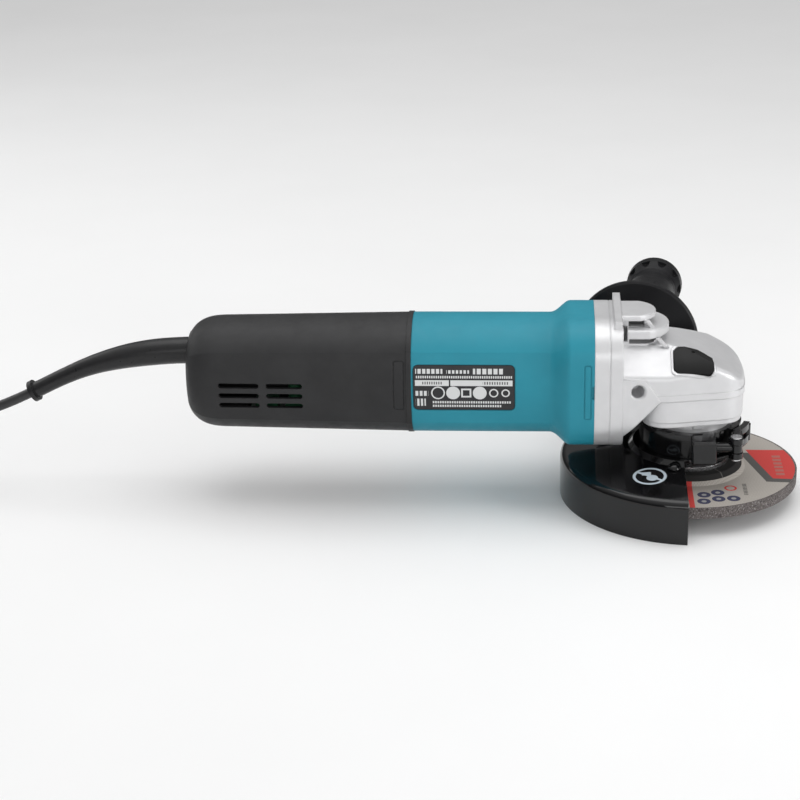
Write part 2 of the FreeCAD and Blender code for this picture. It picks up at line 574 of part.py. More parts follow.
def clamp_band():
    """Split band with two ears for the draw bolt."""
    band = ring_z(BAND_R, 24.0, BAND_Z0, BAND_Z1)
    opening = polygon([V(0, 0, 20), V(13.5, -40, 20), V(40, -52, 20), V(40, -34.0, 20)]).extrude(V(0, 0, 40))
    band = band.cut(opening)
    near_ear = rounded_plate(-1.3, 11.7, -36.2, -22.0, BAND_Z0, BAND_Z1, 1.4).cut(rod_z(24.0, 20, 60))
    upright = [e for e in near_ear.Edges if e.BoundBox.ZLength > 6 and e.BoundBox.YMax < -36.0]
    near_ear = near_ear.makeFillet(1.2, upright)
    far_ear = rounded_plate(14.0, 17.6, -34.6, -15.0, BAND_Z0 + 0.6, BAND_Z1, 1.2).cut(rod_z(24.0, 20, 60))
    body = fuse_all([band, near_ear, far_ear])
    return biggest(body.cut(rod_along(2.6, BOLT, MOTOR, 30)).cut(rod_along(4.1, BOLT, MOTOR, 3.2)))


def clamp_bolt():
    """Draw bolt: head sunk in the near ear, nut between the ears, eye for the lever's pin."""
    shank = rod_along(2.5, BOLT, MOTOR, LEVER_PIN.x - BOLT.x)
    head = rod_along(4.0, BOLT, MOTOR, 3.0)
    eye = rod_z(3.3, BOLT.z - 2.2, BOLT.z + 2.2, LEVER_PIN.x, LEVER_PIN.y)
    return fuse_all([shank, head, eye]).cut(rod_z(2.0, 0, 60, LEVER_PIN.x, LEVER_PIN.y))


def lever_pin():
    x, y = LEVER_PIN.x, LEVER_PIN.y
    heads = [rod_z(2.9, z, z + 0.8, x, y) for z in (LEVER_Z0 - 1.1, LEVER_Z1 + 0.3)]
    return fuse_all([rod_z(2.0, LEVER_Z0 - 0.9, LEVER_Z1 + 0.9, x, y)] + heads)


def clamp_lever():
    """Cam lever around the front of the collar; it swings out about the pin."""
    x, y = LEVER_PIN.x, LEVER_PIN.y
    cheeks = []
    for z0, z1 in ((LEVER_Z0, BOLT.z - 2.5), (BOLT.z + 2.5, LEVER_Z1)):
        cheeks.append(rod_z(3.7, z0, z1, x, y))
        cheeks.append(box(x - 0.8, x + 3.7, y, y + 10.5, z0, z1))
    start = math.radians(-43)
    wedge = [V(0, 0, 20), V(60 * math.cos(start), 60 * math.sin(start), 20),
             V(60 * math.cos(LEVER_END), 60 * math.sin(LEVER_END), 20)]
    arm = ring_z(LEVER_R, LEVER_R - 3.2, LEVER_Z0, LEVER_Z1).common(polygon(wedge).extrude(V(0, 0, 40)))
    arm = arm.cut(box(20, 50, -20, -9, BOLT.z - 1.6, BOLT.z + 1.6))
    middle = LEVER_R - 1.6
    curl = rod_z(2.2, LEVER_Z0 + 0.4, LEVER_Z1 - 1.4, middle * math.cos(LEVER_END), middle * math.sin(LEVER_END))
    body = fuse_all(cheeks + [arm, curl])
    return biggest(body.cut(rod_z(2.05, 20, 60, x, y)).cut(rod_z(28.6, 20, 60)))


def guard_screw():
    """Rivet with a domed head that stops the guard's turn."""
    x, y, z = GUARD_SCREW.x, GUARD_SCREW.y, GUARD_SCREW.z
    head = Part.makeSphere(3.8, V(x, y, z - 1.2)).common(box(-30, 10, -50, -20, z + 0.1, 50))
    return head.fuse(rod_z(2.0, z - 3.6, z + 1, x, y))


# ---- motor -------------------------------------------------------------------------------------------------
def armature_shaft():
    return turned_x([(-188, 0), (-188, 3.6), (-187.5, 4.0), (-178.6, 4.0), (-178.6, 5.0), (-47.0, 5.0),
                     (-46.9, 6.0), (-38.0, 6.0), (-38.0, 5.0), (-27.2, 5.0), (-27.2, 3.6), (-15.0, 3.6), (-15.0, 0)])


def armature_core():
    core = ring_x(17.6, 5.0, -140, -102)
    for i in range(12):
        slot = box(-141, -101, -1.1, 1.1, AXIS_Z + 12.0, AXIS_Z + 18.5)
        slot.rotate(V(0, 0, AXIS_Z), MOTOR, 30 * i + 15)
        core = core.cut(slot)
    return core


def armature_winding():
    ends = []
    for a, b in ((-149.6, -140.0), (-102.0, -92.8)):
        ends.append(turned_x([(a, 6.6), (a, 12.5), (a + 2.5, 15.4), (b - 2.5, 15.4), (b, 12.5), (b, 6.6)]))
    body = fuse_all(ends)
    bars = []
    for i in range(12):
        bar = box(-142, -100, -0.95, 0.95, AXIS_Z + 12.1, AXIS_Z + 15.2)
        bar.rotate(V(0, 0, AXIS_Z), MOTOR, 30 * i + 15)
        bars.append(bar)
    return fuse_all([body] + bars)


def commutator():
    body = turned_x([(-168, 5.0), (-168, 11.6), (-153.4, 11.6), (-153.4, 13.0), (-150.8, 13.0), (-150.8, 5.0)])
    for i in range(24):
        groove = box(-169, -153.6, -0.25, 0.25, AXIS_Z + 11.0, AXIS_Z + 12.5)
        groove.rotate(V(0, 0, AXIS_Z), MOTOR, 15 * i)
        body = body.cut(groove)
    return body


def cooling_fan():
    body = turned_x([(-80.0, 5.0), (-80.0, 25.6), (-78.4, 25.6), (-77.6, 12.0), (-66.0, 9.0), (-66.0, 5.0)])
    blades = []
    for i in range(14):
        blade = box(-79.0, -67.5, -0.8, 0.8, AXIS_Z + 8.5, AXIS_Z + 25.4)
        blade = blade.cut(box(-72, -60, -2, 2, AXIS_Z + 8, AXIS_Z + 14))
        blade.rotate(V(0, 0, AXIS_Z), MOTOR, 360 / 14 * i)
        blades.append(blade)
    return biggest(fuse_all([body] + blades))


def stator_core():
    body = ring_x(25.8, 21.4, -140, -102)
    for middle in (90, 270):
        body = body.fuse(sector_x(21.6, 18.3, -140, -102, middle, 52))
    return biggest(body)


def field_coils():
    coils = []
    for middle in (90, 270):
        sides = [sector_x(21.2, 18.6, -146, -96, middle + turn, 13) for turn in (-68, 68)]
        ends = [sector_x(24.4, 18.6, a, b, middle, 81) for a, b in ((-147, -140.4), (-101.6, -95))]
        coils.append(fuse_all(sides + ends))
    return Part.makeCompound(coils)


def brush_bridge():
    body = ring_x(26.0, 13.5, -176.5, -172.5)
    cup = turned_x([(-188.6, 4.8), (-188.6, 13.6), (-172.5, 13.6), (-172.5, 9.0), (-179.0, 9.0), (-179.0, 11.0),
                    (-186.2, 11.0), (-186.2, 4.8)])
    body = body.fuse(cup)
    for z in (AXIS_Z - 25.4, AXIS_Z + 20.4):
        body = body.fuse(box(-174, COVER_X - 1.6, -5.0, 5.0, z, z + 5.0).common(rod_x(26.0, -180, -140)))
    for side in (-1, 1):
        y0, y1 = sorted((side * 13.0, side * 25.0))
        holder = box(-174, -152.6, y0, y1, AXIS_Z - 7.0, AXIS_Z + 7.0).common(rod_x(26.0, -180, -140))
        body = body.fuse(holder).cut(box(-164.6, -153.6, y0 - 4, y1 + 4, AXIS_Z - 5.3, AXIS_Z + 5.3))
    return biggest(body)


def brush_holders():
    tubes = []
    for side in (-1, 1):
        y0, y1 = sorted((side * 12.6, side * 24.4))
        tube = box(-164.6, -153.6, y0, y1, AXIS_Z - 5.3, AXIS_Z + 5.3)
        c0, c1 = sorted((side * 12.0, side * 23.6))
        tubes.append(tube.cut(box(-163.6, -154.6, c0, c1, AXIS_Z - 4.3, AXIS_Z + 4.3)))
    return Part.makeCompound(tubes)


def carbon_brushes():
    blocks = []
    for side in (-1, 1):
        y0, y1 = sorted((side * 11.4, side * 18.6))
        block = box(-163.3, -154.9, y0, y1, AXIS_Z - 4.0, AXIS_Z + 4.0)
        blocks.append(block.cut(rod_x(11.9, -165, -153)))
    return Part.makeCompound(blocks)


def helix_spring(start, direction, length, radius, wire, turns):
    """Coil spring of square wire, wire being half its thickness."""
    spine = Part.makeHelix(length / turns, length, radius)
    corners = [V(radius - wire, 0, -wire), V(radius + wire, 0, -wire), V(radius + wire, 0, wire),
               V(radius - wire, 0, wire)]
    section = Part.makePolygon(corners + [corners[0]])
    coil = Part.Wire(spine).makePipeShell([section], True, True)
    turn = FreeCAD.Rotation(V(0, 0, 1), direction)
    coil.Placement = FreeCAD.Placement(start, turn)
    return coil


def brush_springs():
    springs = []
    for side in (-1, 1):
        springs.append(helix_spring(V(-159.1, side * 19.1, AXIS_Z), V(0, side, 0), 4.0, 3.0, 0.35, 3))
    return Part.makeCompound(springs)


# ---- controls ----------------------------------------------------------------------------------------------
LOCK_GAP = 0.35    # around the lock button in its window


def lock_block(gap, depth, height):
    """Block standing square on the shoulder around the lock button; height is outwards, depth inwards."""
    across = V(0, -math.cos(LOCK_TILT), -math.sin(LOCK_TILT))
    half_x, low, high = 10.1 + gap, 7.9 + gap, 9.2 + gap
    base = SHOULDER + LOCK_IN * depth + V(-1.0, 0, 0)
    outline = [(-half_x, 3.4 - high), (3.0 - half_x, -high), (half_x - 4.0, -high), (half_x, 4.4 - high),
               (half_x, low - 2.0), (half_x - 2.0, low), (2.0 - half_x, low), (-half_x, low - 2.0)]
    block = polygon([base + V(x, 0, 0) + across * t for x, t in outline]).extrude(LOCK_IN * -(depth + height))
    deep = depth + height - 0.1
    along = [e for e in block.Edges if abs((e.Vertexes[0].Point - e.Vertexes[1].Point).dot(LOCK_IN)) > deep]
    return block.makeFillet(min(2.4 + gap, 3.2), along)


def lock_button():
    """Pad with a domed face a little above the shoulder, guided on the pin."""
    cap = lock_block(0.0, 2.8, 2.6).common(moved(head_outer(), LOCK_IN * -1.5))
    dome = Part.makeCylinder(30.0, 60, SHOULDER + LOCK_IN * 28.4 + V(-30, 0, 0), MOTOR)
    body = cap.common(dome)
    dent = Part.makeSphere(1.0, SHOULDER + LOCK_IN * -1.0 + V(-1, 4.2, 3.05))
    return biggest(body.cut(rod_along(2.0, SHOULDER, LOCK_IN, 5)).cut(dent))


def lock_pin():
    return rod_along(2.0, SHOULDER, LOCK_IN, 21.4)


def lock_spring():
    return helix_spring(SHOULDER + LOCK_IN * 3.3, LOCK_IN, 5.2, 2.9, 0.4, 3)


def switch_button():
    top = switch_bar(-120.5, -101.5, 33.8, 37.0, 7.0)
    top = top.makeFillet(0.9, [e for e in top.Edges if 10 < e.Length < 19.5])
    grips = [switch_bar(-118.0 + 2.6 * i, -116.8 + 2.6 * i, 36.4, 37.7, 5.6) for i in range(6)]
    foot = switch_bar(-120.2, -104.2, 27.8, 34.2, 2.7)
    return biggest(fuse_all([top, foot] + grips))


def switch_rod():
    bar = switch_bar(-205.0, -104.2, 26.5, 27.8, 2.7)
    return bar.fuse(switch_bar(-205.0, -202.6, 22.4, 27.0, 2.7))


def switch_module():
    body = switch_bar(-228.0, -192.0, 9.0, 21.6, 8.6)
    posts = [switch_bar(a, a + 2.0, 21.4, 24.6, 3.0) for a in (-211.0, -194.6)]
    return fuse_all([body] + posts)


def controller_board():
    board = box(-236, -196, -20.0, 4.0, 49.0, 50.6)
    chips = [box(-232, -220, -16, -6, 50.4, 58.0), box(-216, -206, -14, -4, 50.4, 55.0),
             rod_z(4.0, 50.4, 62.0, -212, -0.5)]
    return fuse_all([board] + chips)


def noise_suppressor():
    body = box(-238.0, -214.0, -20.0, -8.0, 72.0, 84.0)
    return body.makeFillet(1.2, body.Edges)


# ---- side handle -----------------------------------------------------------------------------------------
HANDLE_OUT = V(math.sin(HANDLE_TILT), math.cos(HANDLE_TILT), 0)
HANDLE_FOOT = V(HANDLE_X, 34.2, HANDLE_Z)


def turned_handle(profile):
    """Solid of revolution about the handle axis from (distance out, radius) points."""
    face = polygon([HANDLE_FOOT + HANDLE_OUT * s + V(0, 0, r) for s, r in profile])
    return face.revolve(HANDLE_FOOT, HANDLE_OUT, 360)


def side_handle():
    body = turned_handle([(0.4, 4.1), (0.4, 10.5), (6.0, 11.5), (9.6, 14.0), (10.6, 33.2), (11.6, 34.3), (13.4, 34.3),
                          (14.4, 33.4), (13.4, 16.4), (17.0, 15.0), (24.0, 14.4), (34.0, 15.4), (50.0, 16.6),
                          (66.0, 16.4), (84.0, 14.8), (96.0, 13.2), (101.0, 13.4), (106.5, 16.2), (113.0, 16.4),
                          (116.0, 15.0), (117.5, 11.0), (117.5, 4.1), (117.5, 0.0), (60.0, 0.0), (60.0, 4.1)])
    side = V(math.cos(HANDLE_TILT), -math.sin(HANDLE_TILT), 0)
    for i in range(10):
        a = 2 * math.pi * i / 10
        out = side * math.cos(a) + V(0, 0, math.sin(a))
        start = HANDLE_FOOT + HANDLE_OUT * 30 + out * 17.4
        groove = rod_along(1.6, start, HANDLE_OUT, 60)
        pocket = rod_along(3.2, HANDLE_FOOT + HANDLE_OUT * 98.5 + out * 17.4, HANDLE_OUT, 8.5)
        body = body.cut(groove).cut(pocket)
    return biggest(body)


def handle_stud():
    return rod_along(3.95, HANDLE_FOOT - HANDLE_OUT * 12.5, HANDLE_OUT, 72.0)


# ---- cord --------------------------------------------------------------------------------------------------
def cord_path(route):
    """Straight runs joined by tangent arcs as large as the runs allow."""
    points = [V(*p) for p in route]
    edges = []
    last = points[0]
    for before, corner, after in zip(points, points[1:], points[2:]):
        into, out = (corner - before), (after - corner)
        turn = into.getAngle(out)
        reach = 0.45 * min(into.Length, out.Length)
        start = corner - into.normalize() * reach
        end = corner + out.normalize() * reach
        inward = (end - corner) + (start - corner)
        radius = reach / math.tan(turn / 2)
        sag = radius * (1 / math.cos(turn / 2) - 1)
        edges.append(Part.makeLine(last, start))
        edges.append(Part.Arc(start, corner + inward.normalize() * sag, end).toShape())
        last = end
    edges.append(Part.makeLine(last, points[-1]))
    return Part.Wire(edges)


def cord_tube(route):
    path = cord_path(route)
    begin = V(*route[0])
    heading = V(*route[1]) - begin
    section = Part.Wire(Part.makeCircle(CORD_R, begin, heading))
    tube = path.makePipeShell([section], True, True)
    arcs = [round(e.Curve.Radius, 1) for e in path.Edges if hasattr(e.Curve, "Radius")]
    expected = math.pi * CORD_R ** 2 * path.Length
    print("cord arcs", arcs, "length", round(path.Length, 1), "volume ratio", round(tube.Volume / expected, 4))
    return tube


def cord_coil():
    half = COIL_TURNS_WIDE * CORD_R
    height = COIL_TURNS_HIGH * 2 * CORD_R
    ring = turned_z([(COIL_R - half, 0), (COIL_R + half, 0), (COIL_R + half, height), (COIL_R - half, height)])
    ring = ring.makeFillet(CORD_R * 0.9, [e for e in ring.Edges if hasattr(e.Curve, "Radius")])
    ring.translate(COIL_CENTRE)
    return ring


def coil_tie():
    half = COIL_TURNS_WIDE * CORD_R
    height = COIL_TURNS_HIGH * 2 * CORD_R
    x0, x1 = COIL_R - half - 1.2, COIL_R + half + 1.2
    band = box(x0, x1, -4, 4, 0.0, height + 1.4).cut(box(x0 + 1.2, x1 - 1.2, -5, 5, -1, height + 0.2))
    band.rotate(V(0, 0, 0), SPINDLE, -70)
    band.translate(COIL_CENTRE)
    return band


BOOT = [(0.0, 7.3), (24.0, 7.0), (42.0, 6.1), (58.0, 5.1), (74.0, 4.5), (93.0, 4.4)]    # (distance, radius)
BOOT_COLLAR_R, BOOT_COLLAR_T = 6.0, 2.4


def cord_guard():
    """Moulded strain relief that follows the first bend of the cord and tapers to a collar."""
    path = cord_path(CORD_ROUTE)
    start = CORD_ROUTE[0][0] - REAR_X
    outside = []
    for s, r in BOOT:
        point, heading = along_path(path, start + s)
        outside.append(Part.Wire(Part.makeCircle(r, point, heading)))
    reach, step = 16.0, 10.5
    hole = []
    for i in range(12):
        point, heading = along_path(path, start - reach + i * step)
        hole.append(Part.Wire(Part.makeCircle(CORD_R, point, heading)))
    point, heading = along_path(path, start + BOOT[-1][0])
    collar = rod_along(BOOT_COLLAR_R, point - heading * BOOT_COLLAR_T, heading, BOOT_COLLAR_T)
    root = rod_x(BOOT[0][1] - 0.5, REAR_X - 3, -256, 0, CORD_Z).fuse(rod_x(LIP_R, LIP_X0, LIP_X1, 0, CORD_Z))
    body = fuse_all([Part.makeLoft(outside, True), collar, root])
    return biggest(body.cut(Part.makeLoft(hole, True)))


def along_path(path, distance):
    for edge in path.Edges:
        if distance <= edge.Length:
            spot = edge.getParameterByLength(distance)
            return edge.valueAt(spot), edge.tangentAt(spot)
        distance -= edge.Length
    last = path.Edges[-1]
    return last.valueAt(last.LastParameter), last.tangentAt(last.LastParameter)


def plug_body():
    """Two-pin contour plug lying on its side."""
    x, y, z = PLUG_START
    body = box(x - 17.5, x + 17.5, y - 36, y - 8, z - 11.0, z + 7.0)
    upright = [e for e in body.Edges if abs(e.Vertexes[0].Point.z - e.Vertexes[1].Point.z) > 5]
    body = body.makeFillet(6.0, upright)
    neck = Part.makeCone(4.2, 8.0, 14, V(x, y, z - 1), V(0, -1, 0))
    bore = rod_along(CORD_R, V(x, y + 1, z), V(0, -1, 0), 5)
    body = body.fuse(neck).cut(bore)
    for side in (-1, 1):
        body = body.cut(rod_along(3.0, V(x + side * 9.5, y - 33, z - 2.0), V(0, -1, 0), 4))
    return biggest(body)


def plug_pins():
    """Two round pins, 19 mm apart, each with a wider root inside the plug."""
    x, y, z = PLUG_START
    pins = []
    for side in (-1, 1):
        root = V(x + side * 9.5, y - 33, z - 2.0)
        pins.append(rod_along(3.0, root, V(0, -1, 0), 3).fuse(rod_along(2.4, root, V(0, -1, 0), 22)))
    return Part.makeCompound(pins)


CLAMP_SCREWS = [V(-247.5, y, CORD_Z - 4.4) for y in (-8, 8)]


def cord_clamp():
    bar = box(-252, -243, -11, 11, CORD_Z - 4.4, CORD_Z - CORD_R)
    return bar.cut(fuse_all([rod_along(1.5, place - SPINDLE, SPINDLE, 9) for place in CLAMP_SCREWS]))


def cord_clamp_screws():
    return screws(SPINDLE, CLAMP_SCREWS, 1.4, 9.0, 2.8, 2.0)


def build():
    outer = motor_housing_outer()
    save("gear_housing", gear_housing())
    save("bearing_box", bearing_box())
    save("motor_housing", motor_housing(outer))
    save("label_plate", label_plate(outer))
    save("rear_cover", rear_cover())
    save("rear_cover_screw", screws(MOTOR, [V(-260.5, 0, REAR_SCREW_Z)], 1.9, 20, 3.8, 2.4))
    flange_places = [V(-41.5, y, z) for y, z in FLANGE_SCREWS]
    save("gear_housing_screws", screws(V(-1, 0, 0), flange_places, 2.0, 23, 3.9, 2.6))
    box_places = [V(x, y, BOX_Z + 3.4) for x, y in BOX_SCREWS]
    save("bearing_box_screws", screws(SPINDLE, box_places, 2.0, 17, 3.8, 3.0))
    save("spindle", spindle())
    save("spindle_gear", spindle_gear())
    save("spindle_key", box(4.2, 6.0, -1.5, 1.5, 53.4, 59.6).common(rod_z(6.0, 50, 62)))
    save("spindle_bearing", ring_z(16.0, 6.03, 37.0, 47.0))
    save("bearing_retainer", ring_z(16.0, 12.0, 47.2, 50.4))
    save("needle_bearing", ring_z(7.0, 4.54, 72.8, SPINDLE_TOP))
    save("dust_ring", ring_z(12.6, 8.6, 31.0, 33.0))
    save("inner_flange", inner_flange())
    save("lock_nut", lock_nut())
    save("grinding_disc", grinding_disc())
    save("wheel_guard", wheel_guard())
    save("guard_screw", guard_screw())
    save("clamp_band", clamp_band())
    save("clamp_bolt", clamp_bolt())
    save("lever_pin", lever_pin())
    save("clamp_lever", clamp_lever())
    save("armature_shaft", armature_shaft())
    save("pinion", pinion())
    save("front_bearing", ring_x(14.0, 6.03, -46.6, -38.6))
    save("rear_bearing", ring_x(11.0, 4.03, -186.0, -179.2))
    save("armature_core", armature_core())
    save("armature_winding", armature_winding())
    save("commutator", commutator())
    save("cooling_fan", cooling_fan())
    save("baffle_plate", turned_x([(-83.8, 16.0), (-83.8, FAN_BORE), (-82.4, FAN_BORE), (-82.4, 16.0)]))
    save("stator_core", stator_core())
    save("field_coils", field_coils())
    save("brush_bridge", brush_bridge())
    save("brush_holders", brush_holders())
    save("carbon_brushes", carbon_brushes())
    save("brush_springs", brush_springs())
    save("lock_button", lock_button())
    save("lock_pin", lock_pin())
    save("lock_spring", lock_spring())
    save("switch_button", switch_button())
    save("switch_rod", switch_rod())
    save("switch_module", switch_module())
    save("controller_board", controller_board())
    save("noise_suppressor", noise_suppressor())
    save("side_handle", side_handle())
    save("handle_stud", handle_stud())
    save("cord_guard", cord_guard())
    save("power_cord", cord_tube(CORD_ROUTE))
    save("cord_coil", cord_coil())
    save("coil_tie", coil_tie())
    save("cord_tail", cord_tube(TAIL_ROUTE))
    save("plug_body", plug_body())
    save("plug_pins", plug_pins())
    save("cord_clamp", cord_clamp())
    save("cord_clamp_screws", cord_clamp_screws())


build()
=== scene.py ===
import json
import math

import bpy
from mathutils import Matrix, Vector


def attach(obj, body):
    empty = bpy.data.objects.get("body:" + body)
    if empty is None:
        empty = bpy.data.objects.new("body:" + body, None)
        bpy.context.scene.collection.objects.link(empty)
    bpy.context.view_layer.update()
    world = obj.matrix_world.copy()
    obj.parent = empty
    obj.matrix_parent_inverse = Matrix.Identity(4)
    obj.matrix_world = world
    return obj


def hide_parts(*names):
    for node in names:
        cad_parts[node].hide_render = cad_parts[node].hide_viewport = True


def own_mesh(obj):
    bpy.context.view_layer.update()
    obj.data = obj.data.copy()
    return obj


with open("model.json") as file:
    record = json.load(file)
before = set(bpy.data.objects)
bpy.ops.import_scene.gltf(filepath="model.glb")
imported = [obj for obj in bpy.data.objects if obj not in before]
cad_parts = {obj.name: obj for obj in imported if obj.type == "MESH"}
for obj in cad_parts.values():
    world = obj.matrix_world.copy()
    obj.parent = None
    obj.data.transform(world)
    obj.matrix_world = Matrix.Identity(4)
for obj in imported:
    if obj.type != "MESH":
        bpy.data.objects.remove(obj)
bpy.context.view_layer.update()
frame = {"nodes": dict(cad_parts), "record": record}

MM = 0.001
BODY = "housing"


# ---- camera ------------------------------------------------------------------------------------------------
CAMERA_TARGET = Vector((-0.15574, 0.0, 0.05172))
CAMERA_DISTANCE = 1.0631
CAMERA_AZIMUTH = math.radians(4.588)
CAMERA_ELEVATION = math.radians(21.573)
CAMERA_ROLL = math.radians(-1.402)
CAMERA_LENS = 88.57


def make_camera():
    a, e, r = CAMERA_AZIMUTH, CAMERA_ELEVATION, CAMERA_ROLL
    ahead = Vector((-math.sin(a) * math.cos(e), math.cos(a) * math.cos(e), -math.sin(e)))
    level = Vector((math.cos(a), math.sin(a), 0))
    upright = level.cross(ahead)
    right = level * math.cos(r) + upright * math.sin(r)
    up = upright * math.cos(r) - level * math.sin(r)
    turn = Matrix((right, up, -ahead)).transposed()
    data = bpy.data.cameras.new("camera")
    data.lens = CAMERA_LENS
    data.sensor_width = 36
    data.clip_start = 0.01
    camera = bpy.data.objects.new("camera", data)
    camera.matrix_world = Matrix.Translation(CAMERA_TARGET - ahead * CAMERA_DISTANCE) @ turn.to_4x4()
    bpy.context.scene.collection.objects.link(camera)
    bpy.context.scene.camera = camera


make_camera()


# ---- mains cord --------------------------------------------------------------------------------------------
CORD_DIAMETER = 0.0055
CORD_ROUTE = [(-0.240, 0, 0.0801), (-0.284, 0, 0.0801), (-0.318, 0, 0.0736), (-0.346, 0, 0.0615),
              (-0.366, 0, 0.0510), (-0.391, 0, 0.0415), (-0.414, 0, 0.0210), (-0.438, 0, 0.00275),
              (-0.459, 0, 0.00275)]
CORD_TAIL = [(-0.4945, -0.062, 0.0185), (-0.493, -0.086, 0.0125), (-0.491, -0.112, 0.0110)]
COIL_CENTRE = Vector((-0.459, -0.0355, 0))
COIL_RADII = [0.0355, 0.0300, 0.0245]
COIL_TURNS = 11.25
TURN_POINTS = 16                # control points per turn
STEP_SIDEWAYS = (0.80, 0.90)    # the part of a turn in which the cord moves to the next radius
STEP_UP = (0.91, 0.99)          # and then, at the end of a row, up to the next row


def eased(t, start, end):
    t = min(1.0, max(0.0, (t - start) / (end - start)))
    return t * t * (3 - 2 * t)


def coil_points():
    """Control points of the wound turns: three wide, inwards and outwards by turns, in four rows."""
    radii = (COIL_RADII + COIL_RADII[::-1]) * 2 + COIL_RADII[:1]
    wide = len(COIL_RADII)
    # the curve runs inside its control points, which stand that much further out
    outside = 1 / (0.75 + 0.25 * math.cos(2 * math.pi / TURN_POINTS))
    points = []
    for i in range(1, int(COIL_TURNS * TURN_POINTS) + 1):
        turn, part = divmod(i / TURN_POINTS, 1)
        turn = int(turn)
        row, following = turn // wide, (turn + 1) // wide
        radius = radii[turn] + (radii[turn + 1] - radii[turn]) * eased(part, *STEP_SIDEWAYS)
        height = CORD_DIAMETER * (row + 0.5 + (following - row) * eased(part, *STEP_UP))
        angle = math.pi / 2 + 2 * math.pi * part
        points.append(COIL_CENTRE + Vector((math.cos(angle), math.sin(angle), 0)) * radius * outside
                      + Vector((0, 0, height)))
    return points


def smooth_curve(name, points, radius):
    data = bpy.data.curves.new(name, "CURVE")
    data.dimensions = "3D"
    data.bevel_depth = 1.0    # times each point's radius
    data.bevel_resolution = 6
    data.use_fill_caps = True
    spline = data.splines.new("NURBS")
    spline.points.add(len(points) - 1)
    for point, place in zip(spline.points, points):
        point.co = (*place, 1)
        point.radius = radius
    spline.order_u = 3
    spline.use_endpoint_u = True
    spline.resolution_u = 4
    curve = bpy.data.objects.new(name, data)
    bpy.context.scene.collection.objects.link(curve)
    return curve


flex = smooth_curve("mains_cord", CORD_ROUTE + coil_points() + CORD_TAIL, CORD_DIAMETER / 2)
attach(flex, BODY)
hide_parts("power_cord", "cord_coil", "cord_tail")


# ---- materials ---------------------------------------------------------------------------------------------
THREAD = 0.0011             # pitch of the glass cloth
NOISE_ROUGHNESS = 0.55
BEVEL_SAMPLES = 4
EDGE_TURN = (0.97, 0.80)    # cosines of the turn from the face where the rubbing starts and where it is full
RUBBING_SCALE = 350


